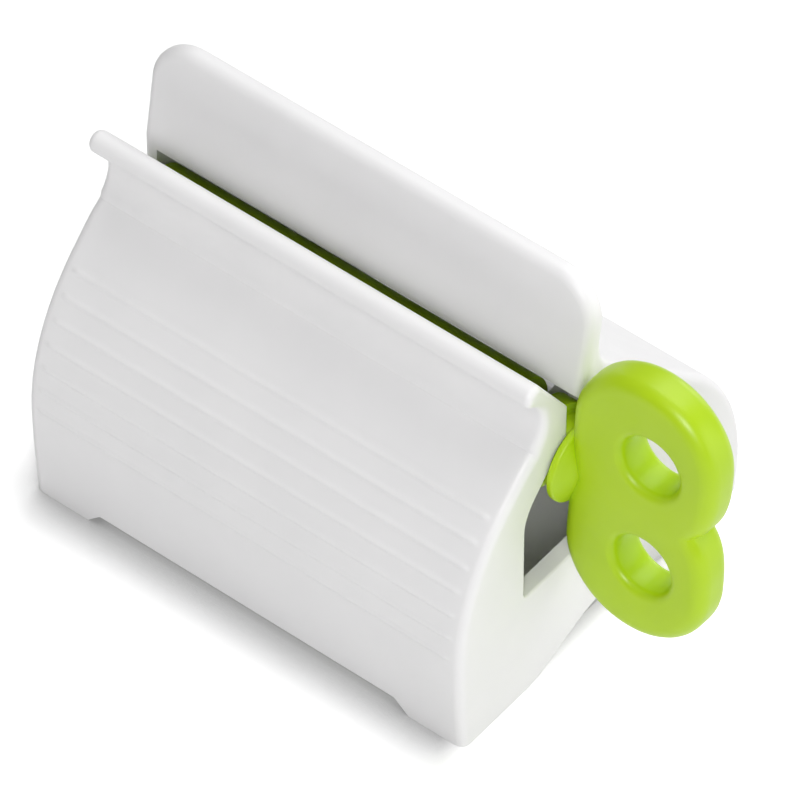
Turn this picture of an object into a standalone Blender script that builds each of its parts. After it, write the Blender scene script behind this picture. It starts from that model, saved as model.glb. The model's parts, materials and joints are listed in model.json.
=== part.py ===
"""Toothpaste tube squeezer: a moulded seat with a slot, a slotted winding rod and a butterfly key.

Metres, +Z up. X runs along the seat towards the key, Y from the ribbed front to the back.
The section of the seat is drawn from its front foot, and the whole model is then set down
with the middle of its outer box over the world's origin.
"""

import math

import bmesh
import bpy
from mathutils import Matrix, Vector

# Driving sizes: the seat
BODY_LENGTH = 0.0710
WALL = 0.0022
END_PLATE = 0.0024
OVERRUN = 0.0020

# The ribbed front, from its foot up to the rolled lip
FRONT_BULGE = 0.0008
FRONT_BULGE_HEIGHT = 0.0160
FRONT_RADIUS = 0.0320
FRONT_SLOPE_RUN = 0.0080
SLOPE_ANGLE = math.radians(45)
NECK_RADIUS = 0.0054
LIP_TURN = math.radians(59)
LIP_BEAD_RADIUS = 0.0016

# The ribs across the front
RIB_COUNT = 7
RIB_PITCH = 0.0036
RIB_START = 0.0172
RIB_WIDTH = 0.0014
RIB_HEIGHT = 0.0003

# The slot behind the lip, its throat and the rod under it
SLOT_SETBACK = 0.00779
THROAT_DROP = 0.0068
THROAT_WIDTH = 0.0028
THROAT_HEIGHT = 0.0013
LAND_GAP = 0.0028
KEY_LEAN = math.radians(3.8)
WINDING_RADIUS = 0.0062
WINDING_END_GAP = 0.0004
ROD_RADIUS = 0.0049
ROD_END_GAP = 0.0003
ROD_TIP_CHAMFER = 0.0006
SHOULDER_SETBACK = 0.0004
SLIT_WIDTH = 0.0020
SLIT_START_MARGIN = 0.0012
SLIT_END_MARGIN = 0.0016
TANG_SIDE = 0.0050
TANG_LENGTH = 0.0042
RUNNING_GAP = 0.0003

# The rear panel
PANEL_THICKNESS = 0.0032
PANEL_LEAN = math.radians(9)
PANEL_RISE = 0.0159
PANEL_CORNER_RADIUS = 0.0065
REAR_LAND_THICKNESS = 0.0026

# The rear flare
REAR_REACH = 0.0346
REAR_BULGE_HEIGHT = 0.0060
REAR_FOOT_DRAFT = 0.0004
REAR_RADIUS = 0.0320
REAR_NECK_RADIUS = 0.0080

# The web inside that the rod's key end snaps up into
WEB_SPACING = 0.0040
WEB_THICKNESS = 0.0022
SNAP_DROP = 0.0025
WEB_REAR_RISE = 0.0010

# Openings in the end plates and along the bottom edges
WINDOW_HALF_WIDTH = 0.0097
WINDOW_SILL_DROP = 0.0187
WINDOW_SHOULDER_DROP = 0.0036
WINDOW_SHOULDER_RADIUS = 0.0070
WINDOW_TOP_HALF_WIDTH = 0.0036
WINDOW_TOP_RISE = 0.0031
RELIEF_REACH = 0.0026
RELIEF_FOOT_RISE = 0.0020
END_FOOT_WIDTH = 0.0120
END_ARCH_HEIGHT = 0.0050
SIDE_FOOT_LENGTH = 0.0090
RECESS_HEIGHT = 0.0023
RECESS_RAMP = 0.0022

# The key
KEY_GAP = 0.0008
KEY_THICKNESS = 0.0061
KEY_EDGE_RADIUS = 0.0021
LOBE_RADIUS = 0.0111
LOBE_OFFSET = 0.0101
OUTER_NOTCH_REACH = 0.0123
INNER_NOTCH_REACH = 0.0153
NOTCH_POWER = 3.0
HOLE_RADIUS = 0.0044
HOLE_RIM_RADIUS = 0.0012
HOLE_OFFSET = 0.0087
HOLE_X = 0.0125
HUB_BLEND_LENGTH = 0.0018
HUB_BLEND_END_RADIUS = 0.0022
FLANGE_RISE = 0.0012
FLANGE_THICKNESS = 0.0009
COLLAR_THICKNESS = 0.0028
COLLAR_GAP = 0.0003
SOCKET_GAP = 0.0002

# How finely round shapes are drawn
ARC_STEPS = 7
ROD_SIDES = 32
LOBE_STEPS = 14
HOLE_SIDES = 24
EDGE_STEPS = 3

# Worked out from the sizes above, as (Y, Z) points where they lie on the section
SLOPE_START = (
    FRONT_RADIUS * (1 - math.cos(SLOPE_ANGLE)) - FRONT_BULGE,
    FRONT_RADIUS * math.sin(SLOPE_ANGLE) + FRONT_BULGE_HEIGHT,
)
SLOPE_END = (
    SLOPE_START[0] + FRONT_SLOPE_RUN * math.sin(SLOPE_ANGLE),
    SLOPE_START[1] + FRONT_SLOPE_RUN * math.cos(SLOPE_ANGLE),
)
NECK_CENTRE = (
    SLOPE_END[0] - NECK_RADIUS * math.cos(SLOPE_ANGLE),
    SLOPE_END[1] + NECK_RADIUS * math.sin(SLOPE_ANGLE),
)
BEAD_CENTRE = (
    NECK_CENTRE[0] + (NECK_RADIUS + LIP_BEAD_RADIUS) * math.cos(LIP_TURN),
    NECK_CENTRE[1] + (NECK_RADIUS + LIP_BEAD_RADIUS) * math.sin(LIP_TURN),
)
THROAT_TOP_Z = BEAD_CENTRE[1] - THROAT_DROP
LAND_BOTTOM_Z = THROAT_TOP_Z - THROAT_HEIGHT
AXIS_Y = BEAD_CENTRE[0] + SLOT_SETBACK
AXIS_Z = LAND_BOTTOM_Z - LAND_GAP - WINDING_RADIUS
THROAT_FRONT_Y = AXIS_Y - THROAT_WIDTH / 2
PANEL_FRONT_Y = AXIS_Y + THROAT_WIDTH / 2
PANEL_TOP_Z = THROAT_TOP_Z + PANEL_RISE
REAR_BULGE_Y = PANEL_FRONT_Y + REAR_REACH
PLATE_INNER_X = BODY_LENGTH - END_PLATE
WEB_END_X = PLATE_INNER_X - WEB_SPACING
WEB_START_X = WEB_END_X - WEB_THICKNESS
ROD_SHOULDER_X = WEB_END_X + SHOULDER_SETBACK
WINDING_START_X = END_PLATE + WINDING_END_GAP
WINDING_END_X = WEB_START_X - WINDING_END_GAP
SLIT_START_X = END_PLATE + SLIT_START_MARGIN
SLIT_END_X = WEB_START_X - SLIT_END_MARGIN
HUB_RADIUS = ROD_RADIUS
FLANGE_RADIUS = HUB_RADIUS + FLANGE_RISE
FLANGE_START_X = BODY_LENGTH + COLLAR_GAP
KEY_FLAT_X = BODY_LENGTH + KEY_GAP
LOBE_CENTRE_X = KEY_FLAT_X + LOBE_RADIUS
TOTAL_LENGTH = LOBE_CENTRE_X + LOBE_RADIUS


def clear_scene():
    for old in list(bpy.data.objects):
        bpy.data.objects.remove(old, do_unlink=True)


def plastic(name, colour, roughness):
    """A moulded plastic of one colour."""
    material = bpy.data.materials.new(name)
    material.use_nodes = True
    shader = material.node_tree.nodes["Principled BSDF"]
    shader.inputs["Base Color"].default_value = (*colour, 1.0)
    shader.inputs["Roughness"].default_value = roughness
    shader.inputs["Metallic"].default_value = 0.0
    return material


def place(name, mesh, material=None):
    """Links a mesh into the scene under a name, with its material."""
    item = bpy.data.objects.new(name, mesh)
    bpy.context.collection.objects.link(item)
    if material:
        mesh.materials.append(material)
    return item


def mesh_of(name, work):
    """Turns a closed bmesh into a mesh whose faces point out."""
    bmesh.ops.recalc_face_normals(work, faces=work.faces)
    mesh = bpy.data.meshes.new(name)
    work.to_mesh(mesh)
    work.free()
    return mesh


def prism(name, outline, low, high, along):
    """An outline of (u, v) points drawn out from low to high along X (u, v are Y, Z) or Y (X, Z)."""
    work = bmesh.new()
    if along == "X":
        corners = [Vector((low, u, v)) for u, v in outline]
        step = Vector((high - low, 0, 0))
    else:
        corners = [Vector((u, low, v)) for u, v in outline]
        step = Vector((0, high - low, 0))
    face = work.faces.new([work.verts.new(corner) for corner in corners])
    drawn = bmesh.ops.extrude_face_region(work, geom=[face])
    moved = [part for part in drawn["geom"] if isinstance(part, bmesh.types.BMVert)]
    bmesh.ops.translate(work, verts=moved, vec=step)
    return mesh_of(name, work)


def turned(name, profile, sides):
    """A profile of (x, radius) points turned about the X axis; its first and last point lie on the axis."""
    work = bmesh.new()
    points = [work.verts.new((x, 0, radius)) for x, radius in profile]
    edges = [work.edges.new(pair) for pair in zip(points, points[1:])]
    bmesh.ops.spin(
        work,
        geom=points + edges,
        cent=(0, 0, 0),
        axis=(1, 0, 0),
        angle=math.tau,
        steps=sides,
        use_duplicate=False,
    )
    bmesh.ops.remove_doubles(work, verts=work.verts, dist=RUNNING_GAP / 100)
    return mesh_of(name, work)


def shade_smooth(item, angle):
    item.data.shade_smooth()
    item.data.set_sharp_from_angle(angle=math.radians(angle))


def helper(name, mesh, parent=None):
    """A shape that only cuts or joins another one."""
    item = place(name, mesh)
    item.hide_render = True
    item.display_type = "WIRE"
    item.parent = parent
    return item


def boolean(item, other, operation):
    step = item.modifiers.new(f"{operation.lower()} {other.name}", "BOOLEAN")
    step.object = other
    step.operation = operation
    step.solver = "EXACT"


def arc(centre, radius, start, end, steps):
    """Points along an arc, its ends included; angles run from +u towards +v."""
    points = []
    for index in range(steps + 1):
        angle = start + (end - start) * index / steps
        points.append((centre[0] + radius * math.cos(angle), centre[1] + radius * math.sin(angle)))
    return points


class FrontCurve:
    """The outer face of the front wall by the distance along it from the foot, with its normal."""

    def __init__(self):
        self.bulge_y = -FRONT_BULGE
        self.arc_length = FRONT_RADIUS * SLOPE_ANGLE
        self.arc_centre = (self.bulge_y + FRONT_RADIUS, FRONT_BULGE_HEIGHT)
        self.slope_start_at = FRONT_BULGE_HEIGHT + self.arc_length
        self.slope_end_at = self.slope_start_at + FRONT_SLOPE_RUN

    def on_arc(self, angle, radius):
        return (
            self.arc_centre[0] - radius * math.cos(angle),
            self.arc_centre[1] + radius * math.sin(angle),
        )

    def at(self, distance, outward=0.0):
        """The point at this distance, moved outward by a length."""
        if distance <= FRONT_BULGE_HEIGHT:
            lean = math.sin(distance / FRONT_BULGE_HEIGHT * math.pi / 2)
            return (self.bulge_y * lean - outward, distance)
        if distance <= self.slope_start_at:
            angle = (distance - FRONT_BULGE_HEIGHT) / FRONT_RADIUS
            return self.on_arc(angle, FRONT_RADIUS + outward)
        run = distance - self.slope_start_at
        y = SLOPE_START[0] + run * math.sin(SLOPE_ANGLE) - outward * math.cos(SLOPE_ANGLE)
        z = SLOPE_START[1] + run * math.cos(SLOPE_ANGLE) + outward * math.sin(SLOPE_ANGLE)
        return (y, z)


def front_face(curve):
    """The front's outer face from the foot to the end of its straight slope, ribs included."""
    places = [(FRONT_BULGE_HEIGHT * step / 4, 0.0) for step in range(5)]
    for rib in range(RIB_COUNT):
        middle = RIB_START + rib * RIB_PITCH
        places.append((middle - RIB_WIDTH / 2, 0.0))
        places.append((middle - RIB_WIDTH / 4, RIB_HEIGHT))
        places.append((middle + RIB_WIDTH / 4, RIB_HEIGHT))
        places.append((middle + RIB_WIDTH / 2, 0.0))
    last_rib = RIB_START + (RIB_COUNT - 1) * RIB_PITCH + RIB_WIDTH / 2
    if last_rib < curve.slope_start_at:
        places.append((curve.slope_start_at, 0.0))
    places.append((curve.slope_end_at, 0.0))
    first = [place for place in places[:5] if place[0] < RIB_START - RIB_WIDTH / 2]
    return [curve.at(distance, outward) for distance, outward in first + places[5:]]


def lip():
    """From the end of the slope round the neck and the rolled lip, down to the throat's front edge."""
    edge = (THROAT_FRONT_Y, THROAT_TOP_Z)
    along = (edge[0] - BEAD_CENTRE[0], edge[1] - BEAD_CENTRE[1])
    towards = math.atan2(along[1], along[0])
    leave = towards + math.acos(LIP_BEAD_RADIUS / math.hypot(*along))
    points = arc(NECK_CENTRE, NECK_RADIUS, -SLOPE_ANGLE, LIP_TURN, ARC_STEPS + 2)[1:]
    points += arc(BEAD_CENTRE, LIP_BEAD_RADIUS, math.pi + LIP_TURN, leave, ARC_STEPS + 2)[1:]
    return points + [edge]


def panel():
    """The rear panel, leaning back, from the throat over its round top to its rear face."""
    half = PANEL_THICKNESS / 2
    rise = PANEL_TOP_Z - half - THROAT_TOP_Z + half * math.sin(PANEL_LEAN)
    run = rise / math.cos(PANEL_LEAN)
    crown = (
        PANEL_FRONT_Y + run * math.sin(PANEL_LEAN) + half * math.cos(PANEL_LEAN),
        PANEL_TOP_Z - half,
    )
    points = arc(crown, half, math.pi - PANEL_LEAN, -PANEL_LEAN, ARC_STEPS)
    return [(PANEL_FRONT_Y, THROAT_TOP_Z)] + points


def rear_line_sum():
    """Y + Z along the outer face of the rear slope."""
    arc_end = REAR_RADIUS * math.cos(SLOPE_ANGLE)
    return REAR_BULGE_Y - REAR_RADIUS + arc_end + REAR_BULGE_HEIGHT + arc_end


def rear_face():
    """From the foot of the panel's rear face round the neck and the flare, down to the rear foot."""
    along = (math.sin(PANEL_LEAN), math.cos(PANEL_LEAN))
    outward = (math.cos(PANEL_LEAN), -math.sin(PANEL_LEAN))
    foot_y = PANEL_FRONT_Y + PANEL_THICKNESS * outward[0]
    foot_z = THROAT_TOP_Z + PANEL_THICKNESS * outward[1]
    run = (rear_line_sum() - foot_y - foot_z) / (along[0] + along[1])
    run += REAR_NECK_RADIUS * math.tan((SLOPE_ANGLE + PANEL_LEAN) / 2)
    centre = (
        foot_y + run * along[0] + REAR_NECK_RADIUS * outward[0],
        foot_z + run * along[1] + REAR_NECK_RADIUS * outward[1],
    )
    start = math.pi - PANEL_LEAN
    points = arc(centre, REAR_NECK_RADIUS, start, math.pi + SLOPE_ANGLE, ARC_STEPS - 3)
    flare = (REAR_BULGE_Y - REAR_RADIUS, REAR_BULGE_HEIGHT)
    points += arc(flare, REAR_RADIUS, SLOPE_ANGLE, 0.0, ARC_STEPS)
    return points + [(REAR_BULGE_Y - REAR_FOOT_DRAFT, 0.0)]


def seat_outline(curve):
    """The section of the whole seat as if it were filled, with the slot open down to the axis."""
    floor = [(THROAT_FRONT_Y, AXIS_Z), (PANEL_FRONT_Y, AXIS_Z)]
    return front_face(curve) + lip() + floor + panel() + rear_face()


def cavity_outline(curve):
    """The section of the hollow between the end plates, open at the bottom."""
    top = LAND_BOTTOM_Z
    slope_offset = WALL / math.cos(SLOPE_ANGLE)
    points = [curve.at(0.0, -WALL), curve.at(FRONT_BULGE_HEIGHT, -WALL)]
    points[0] = (points[0][0], -OVERRUN)
    steps = ARC_STEPS
    for index in range(1, steps + 1):
        points.append(curve.at(FRONT_BULGE_HEIGHT + curve.arc_length * index / steps, -WALL))
    start = points[-1]
    points.append((start[0] + top - start[1], top))
    pocket_y = PANEL_FRONT_Y + REAR_LAND_THICKNESS
    points.append((pocket_y, top))
    points.append((pocket_y, rear_line_sum() - slope_offset - pocket_y))
    flare = (REAR_BULGE_Y - REAR_RADIUS, REAR_BULGE_HEIGHT)
    points += arc(flare, REAR_RADIUS - WALL, SLOPE_ANGLE, 0.0, ARC_STEPS)
    foot_y = REAR_BULGE_Y - WALL - REAR_FOOT_DRAFT
    return points + [(foot_y, -OVERRUN)]


def window_outline():
    """The opening in the key-side end plate, with shoulders sloping up to the seat of the hub."""
    sill = AXIS_Z - WINDOW_SILL_DROP
    shoulder = AXIS_Z - WINDOW_SHOULDER_DROP
    top = AXIS_Z + WINDOW_TOP_RISE
    run = WINDOW_HALF_WIDTH - WINDOW_TOP_HALF_WIDTH
    lean = math.atan2(run, top - shoulder)
    radius = WINDOW_SHOULDER_RADIUS
    centre = (WINDOW_HALF_WIDTH - radius, shoulder - radius * math.tan(lean / 2))
    curve = arc(centre, radius, 0.0, lean, EDGE_STEPS + 1)
    points = [(WINDOW_HALF_WIDTH, sill)] + curve + [(WINDOW_TOP_HALF_WIDTH, top)]
    right = [(AXIS_Y + out, z) for out, z in points]
    left = [(AXIS_Y - out, z) for out, z in reversed(points)]
    return right + left


def web_outline(curve):
    """The web inside: its front reaches up into the land, its rear only passes the axis."""
    ledge = AXIS_Z - SNAP_DROP
    rear_top = AXIS_Z + WEB_REAR_RISE
    top = LAND_BOTTOM_Z + WALL / 2
    reach = FRONT_RADIUS - WALL / 2
    start = math.asin((ledge - FRONT_BULGE_HEIGHT) / reach)
    points = []
    steps = ARC_STEPS - 3
    for index in range(steps + 1):
        angle = start + (SLOPE_ANGLE - start) * index / steps
        points.append(curve.on_arc(angle, reach))
    end = points[-1]
    points.append((end[0] + top - end[1], top))
    front_y = THROAT_FRONT_Y - RUNNING_GAP
    points += [(front_y, top), (front_y, rear_top)]
    rear_sum = rear_line_sum() - WALL / 2 / math.cos(SLOPE_ANGLE)
    return points + [(rear_sum - rear_top, rear_top), (rear_sum - ledge, ledge)]


def relief_outline():
    """What is cut away behind the slot in the key-side end plate, under the rear land."""
    back = PANEL_FRONT_Y + RELIEF_REACH
    foot = AXIS_Z + RELIEF_FOOT_RISE
    front = AXIS_Y
    return [
        (front, LAND_BOTTOM_Z),
        (front, foot),
        (back, foot),
        (back, LAND_BOTTOM_Z - RELIEF_REACH),
        (PANEL_FRONT_Y, LAND_BOTTOM_Z),
    ]


def arch_outline():
    """The shallow arch under both end plates, from the front feet to the rear feet."""
    low_y = END_FOOT_WIDTH
    high_y = REAR_BULGE_Y - FRONT_BULGE - END_FOOT_WIDTH
    middle = (low_y + high_y) / 2
    half = (high_y - low_y) / 2
    points = [(low_y, -OVERRUN)]
    steps = 2 * ARC_STEPS
    for index in range(steps + 1):
        share = 2 * index / steps - 1
        rise = END_ARCH_HEIGHT * (1 + math.cos(math.pi * share)) / 2
        points.append((middle + half * share, rise))
    return points + [(high_y, -OVERRUN)]


def recess_outline():
    """The recess between the feet along the front and the rear bottom edge."""
    low_x = SIDE_FOOT_LENGTH
    high_x = BODY_LENGTH - SIDE_FOOT_LENGTH
    return [
        (low_x, -OVERRUN),
        (low_x, 0.0),
        (low_x + RECESS_RAMP, RECESS_HEIGHT),
        (high_x - RECESS_RAMP, RECESS_HEIGHT),
        (high_x, 0.0),
        (high_x, -OVERRUN),
    ]


def panel_corner_outline(edge_x, inward):
    """What is cut away at one upper corner of the panel; inward is +1 at the left and -1 at the right."""
    radius = PANEL_CORNER_RADIUS
    centre = (edge_x + inward * radius, PANEL_TOP_Z - radius)
    start = math.pi if inward > 0 else 0.0
    points = arc(centre, radius, start, math.pi / 2, ARC_STEPS)
    outside = edge_x - inward * OVERRUN
    above = PANEL_TOP_Z + OVERRUN
    return [(outside, centre[1])] + points + [(centre[0], above), (outside, above)]


def make_seat(material):
    """The white moulding: ribbed front with its lip, rear panel and flare, and two end plates."""
    curve = FrontCurve()
    outline = seat_outline(curve)
    seat = place("seat", prism("seat", outline, 0.0, BODY_LENGTH, "X"), material)
    far_y = REAR_BULGE_Y + OVERRUN
    near_y = -FRONT_BULGE - RIB_HEIGHT - OVERRUN

    def cut(name, mesh):
        boolean(seat, helper(name, mesh, seat), "DIFFERENCE")

    cut("cut_cavity", prism("cut_cavity", cavity_outline(curve), END_PLATE, PLATE_INNER_X, "X"))
    web = prism("join_web", web_outline(curve), WEB_START_X, WEB_END_X, "X")
    boolean(seat, helper("join_web", web, seat), "UNION")
    bore = cylinder("cut_bore", -OVERRUN, BODY_LENGTH + OVERRUN, ROD_RADIUS + RUNNING_GAP)
    bore.transform(Matrix.Translation((0, AXIS_Y, AXIS_Z)))
    cut("cut_bore", bore)
    window_start = PLATE_INNER_X - OVERRUN
    cut("cut_window", prism("cut_window", window_outline(), window_start, BODY_LENGTH + OVERRUN, "X"))
    cut("cut_relief", prism("cut_relief", relief_outline(), window_start, BODY_LENGTH + OVERRUN, "X"))
    cut("cut_arch", prism("cut_arch", arch_outline(), -OVERRUN, BODY_LENGTH + OVERRUN, "X"))
    cut("cut_recess", prism("cut_recess", recess_outline(), near_y, far_y, "Y"))
    for side, edge_x, inward in (("left", 0.0, 1), ("right", BODY_LENGTH, -1)):
        corner = panel_corner_outline(edge_x, inward)
        cut(f"cut_panel_{side}", prism(f"cut_panel_{side}", corner, THROAT_FRONT_Y, far_y, "Y"))
    shade_smooth(seat, 30)
    return seat, outline


def cylinder(name, low, high, radius):
    """A plain cylinder about the X axis."""
    return turned(name, [(low, 0.0), (low, radius), (high, radius), (high, 0.0)], ROD_SIDES)


def make_rod(material, pivot):
    """The slotted rod that the tube's tail is wound on, with a square tang for the key."""
    tip = ROD_END_GAP
    profile = [
        (tip, 0.0),
        (tip, ROD_RADIUS - ROD_TIP_CHAMFER),
        (tip + ROD_TIP_CHAMFER, ROD_RADIUS),
        (WINDING_START_X, ROD_RADIUS),
        (WINDING_START_X, WINDING_RADIUS),
        (WINDING_END_X, WINDING_RADIUS),
        (WINDING_END_X, ROD_RADIUS),
        (ROD_SHOULDER_X, ROD_RADIUS),
        (ROD_SHOULDER_X, 0.0),
    ]
    rod = place("winding_rod", turned("winding_rod", profile, ROD_SIDES), material)
    rod.parent = pivot
    half = TANG_SIDE / 2
    square = [(-half, -half), (half, -half), (half, half), (-half, half)]
    tang_end = ROD_SHOULDER_X + TANG_LENGTH
    tang = prism("join_tang", square, ROD_SHOULDER_X - TANG_LENGTH / 2, tang_end, "X")
    boolean(rod, helper("join_tang", tang, pivot), "UNION")
    tall = WINDING_RADIUS + OVERRUN
    slit = [
        (-SLIT_WIDTH / 2, -tall),
        (SLIT_WIDTH / 2, -tall),
        (SLIT_WIDTH / 2, tall),
        (-SLIT_WIDTH / 2, tall),
    ]
    cutter = helper("cut_slit", prism("cut_slit", slit, SLIT_START_X, SLIT_END_X, "X"), pivot)
    boolean(rod, cutter, "DIFFERENCE")
    shade_smooth(rod, 30)
    return rod


def lobe_side(reach):
    """One side of a lobe from below its round end to the notch, as (distance out, height) points."""
    points = []
    steps = LOBE_STEPS // 2
    for index in range(1, steps + 1):
        drop = LOBE_OFFSET * index / steps
        share = (1 - (drop / reach) ** NOTCH_POWER) ** (1 / NOTCH_POWER)
        points.append((LOBE_RADIUS * share, LOBE_OFFSET - drop))
    return points


def key_outline():
    """The butterfly outline in X and Z about the rod's axis, anticlockwise from the outer notch."""
    outer = lobe_side(OUTER_NOTCH_REACH)
    inner = lobe_side(INNER_NOTCH_REACH)
    upper = [(LOBE_CENTRE_X + out, height) for out, height in reversed(outer)]
    upper += arc((LOBE_CENTRE_X, LOBE_OFFSET), LOBE_RADIUS, 0.0, math.pi, LOBE_STEPS)
    upper += [(LOBE_CENTRE_X - out, height) for out, height in inner]
    return upper + [(x, -height) for x, height in upper[-2:0:-1]]


def inset(outline, by):
    """The outline with every point moved inwards by a length, square to its neighbours' line."""
    moved = []
    count = len(outline)
    for index, (u, v) in enumerate(outline):
        before = outline[index - 1]
        after = outline[(index + 1) % count]
        along = Vector((after[0] - before[0], after[1] - before[1])).normalized()
        moved.append((u - along.y * by, v + along.x * by))
    return moved


def rounded_plate(name, outline, holes, thickness, edge_radius, rim_radius, steps):
    """A plate in X and Z with round edges, its holes with round rims; outlines run anticlockwise."""
    work = bmesh.new()
    half = thickness / 2

    def wall(loop, radius, sign):
        rings = []
        for side in (-1, 1):
            for index in range(steps + 1):
                angle = math.pi / 2 * (index / steps if side > 0 else 1 - index / steps)
                depth = radius * (1 - math.cos(angle))
                y = side * (half - radius + radius * math.sin(angle))
                shape = inset(loop, sign * depth)
                rings.append([work.verts.new((u, y, v)) for u, v in shape])
        for near, far in zip(rings, rings[1:]):
            for index in range(len(loop)):
                following = (index + 1) % len(loop)
                work.faces.new((near[index], near[following], far[following], far[index]))
        return rings[0], rings[-1]

    ends = [wall(outline, edge_radius, 1)]
    ends += [wall(hole, rim_radius, -1) for hole in holes]
    for side in (0, 1):
        edges = []
        for pair in ends:
            ring = pair[side]
            edges += [work.edges.get((a, b)) for a, b in zip(ring, ring[1:] + ring[:1])]
        bmesh.ops.triangle_fill(work, use_beauty=True, edges=edges)
    return mesh_of(name, work)


def make_key(material, pivot):
    """The butterfly key with its finger holes, and the hub that turns in the seat's end."""
    holes = []
    for side in (-1, 1):
        centre = (KEY_FLAT_X + HOLE_X, side * HOLE_OFFSET)
        holes.append(arc(centre, HOLE_RADIUS, 0.0, math.tau, HOLE_SIDES)[:-1])
    plate = rounded_plate(
        "key", key_outline(), holes, KEY_THICKNESS, KEY_EDGE_RADIUS, HOLE_RIM_RADIUS, EDGE_STEPS
    )
    key = place("key", plate, material)
    key.parent = pivot

    collar_end = PLATE_INNER_X - COLLAR_GAP
    collar_start = collar_end - COLLAR_THICKNESS
    hub_start = ROD_SHOULDER_X + RUNNING_GAP
    flange_end = FLANGE_START_X + FLANGE_THICKNESS
    profile = [
        (hub_start, 0.0),
        (hub_start, HUB_RADIUS),
        (collar_start, HUB_RADIUS),
        (collar_start, FLANGE_RADIUS),
        (collar_end, FLANGE_RADIUS),
        (collar_end, HUB_RADIUS),
        (FLANGE_START_X, HUB_RADIUS),
        (FLANGE_START_X, FLANGE_RADIUS),
        (flange_end, FLANGE_RADIUS),
        (flange_end + HUB_BLEND_LENGTH, HUB_BLEND_END_RADIUS),
        (flange_end + HUB_BLEND_LENGTH, 0.0),
    ]
    hub = helper("join_hub", turned("join_hub", profile, ROD_SIDES), pivot)
    boolean(key, hub, "UNION")

    half = TANG_SIDE / 2 + SOCKET_GAP
    square = [(-half, -half), (half, -half), (half, half), (-half, half)]
    socket_end = ROD_SHOULDER_X + TANG_LENGTH + RUNNING_GAP
    socket = prism("cut_socket", square, hub_start - OVERRUN, socket_end, "X")
    boolean(key, helper("cut_socket", socket, pivot), "DIFFERENCE")
    shade_smooth(key, 35)
    return key


def main():
    clear_scene()
    white = plastic("white_plastic", (0.83, 0.83, 0.85), 0.38)
    green = plastic("green_plastic", (0.45, 0.68, 0.03), 0.32)
    seat, outline = make_seat(white)
    depths = [y for y, _ in outline]
    middle = Vector((-TOTAL_LENGTH / 2, -(min(depths) + max(depths)) / 2, 0))
    seat.location = middle
    pivot = bpy.data.objects.new("winding_axis", None)
    bpy.context.collection.objects.link(pivot)
    pivot.location = middle + Vector((0, AXIS_Y, AXIS_Z))
    pivot.rotation_euler = (-KEY_LEAN, 0, 0)
    make_rod(green, pivot)
    make_key(green, pivot)


main()
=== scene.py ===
"""Looks of the toothpaste tube squeezer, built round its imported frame.

Metres, +Z up. The seat's section is drawn in Y and Z from its front foot, and its length in X
from its left end. The rod and the key are drawn about their axis. All three then go to the
frame's place.
"""

import json
import math

import bmesh
import bpy
from mathutils import Matrix, Vector


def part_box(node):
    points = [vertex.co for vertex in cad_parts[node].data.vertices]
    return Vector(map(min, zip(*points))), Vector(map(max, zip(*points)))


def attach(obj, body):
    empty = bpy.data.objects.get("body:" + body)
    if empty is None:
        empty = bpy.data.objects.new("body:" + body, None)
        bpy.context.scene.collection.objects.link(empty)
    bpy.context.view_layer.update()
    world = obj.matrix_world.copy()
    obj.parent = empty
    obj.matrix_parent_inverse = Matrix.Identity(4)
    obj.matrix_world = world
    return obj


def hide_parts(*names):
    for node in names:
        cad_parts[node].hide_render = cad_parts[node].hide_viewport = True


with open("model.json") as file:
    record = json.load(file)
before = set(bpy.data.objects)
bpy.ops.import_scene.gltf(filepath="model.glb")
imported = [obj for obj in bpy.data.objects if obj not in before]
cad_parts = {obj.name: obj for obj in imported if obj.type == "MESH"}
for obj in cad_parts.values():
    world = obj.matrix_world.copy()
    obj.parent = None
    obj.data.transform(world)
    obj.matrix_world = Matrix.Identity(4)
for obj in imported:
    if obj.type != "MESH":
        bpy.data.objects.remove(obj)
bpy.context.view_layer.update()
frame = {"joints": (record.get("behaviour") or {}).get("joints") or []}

# The seat, as in the frame
SEAT_LENGTH = 0.0710
WALL = 0.0022
END_PLATE = 0.0024
OVERRUN = 0.0020
FRONT_BULGE = 0.0008
FRONT_BULGE_HEIGHT = 0.0160
FRONT_RADIUS = 0.0320
FRONT_SLOPE_RUN = 0.0080
SLOPE_ANGLE = math.radians(45)
NECK_RADIUS = 0.0054
LIP_TURN = math.radians(59)
LIP_BEAD_RADIUS = 0.0016
RIB_COUNT = 7
RIB_PITCH = 0.0036
RIB_START = 0.0172
RIB_WIDTH = 0.0014
RIB_HEIGHT = 0.0003
SLOT_SETBACK = 0.00779
THROAT_DROP = 0.0068
THROAT_WIDTH = 0.0028
THROAT_HEIGHT = 0.0013
LAND_GAP = 0.0028
PANEL_THICKNESS = 0.0032
PANEL_LEAN = math.radians(9)
PANEL_RISE = 0.0159
PANEL_CORNER_RADIUS = 0.0065
REAR_LAND_THICKNESS = 0.0026
REAR_REACH = 0.0346
REAR_BULGE_HEIGHT = 0.0060
REAR_FOOT_DRAFT = 0.0004
REAR_RADIUS = 0.0320
REAR_NECK_RADIUS = 0.0080
WEB_SPACING = 0.0040
WEB_THICKNESS = 0.0022
SNAP_DROP = 0.0025
WEB_REAR_RISE = 0.0010
WINDOW_HALF_WIDTH = 0.0097
WINDOW_SILL_DROP = 0.0187
WINDOW_SHOULDER_DROP = 0.0036
WINDOW_SHOULDER_RADIUS = 0.0070
WINDOW_TOP_HALF_WIDTH = 0.0036
WINDOW_TOP_RISE = 0.0031
RELIEF_REACH = 0.0026
RELIEF_FOOT_RISE = 0.0020
END_FOOT_WIDTH = 0.0120
END_ARCH_HEIGHT = 0.0050
SIDE_FOOT_LENGTH = 0.0090
RECESS_HEIGHT = 0.0023
RECESS_RAMP = 0.0022

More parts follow.
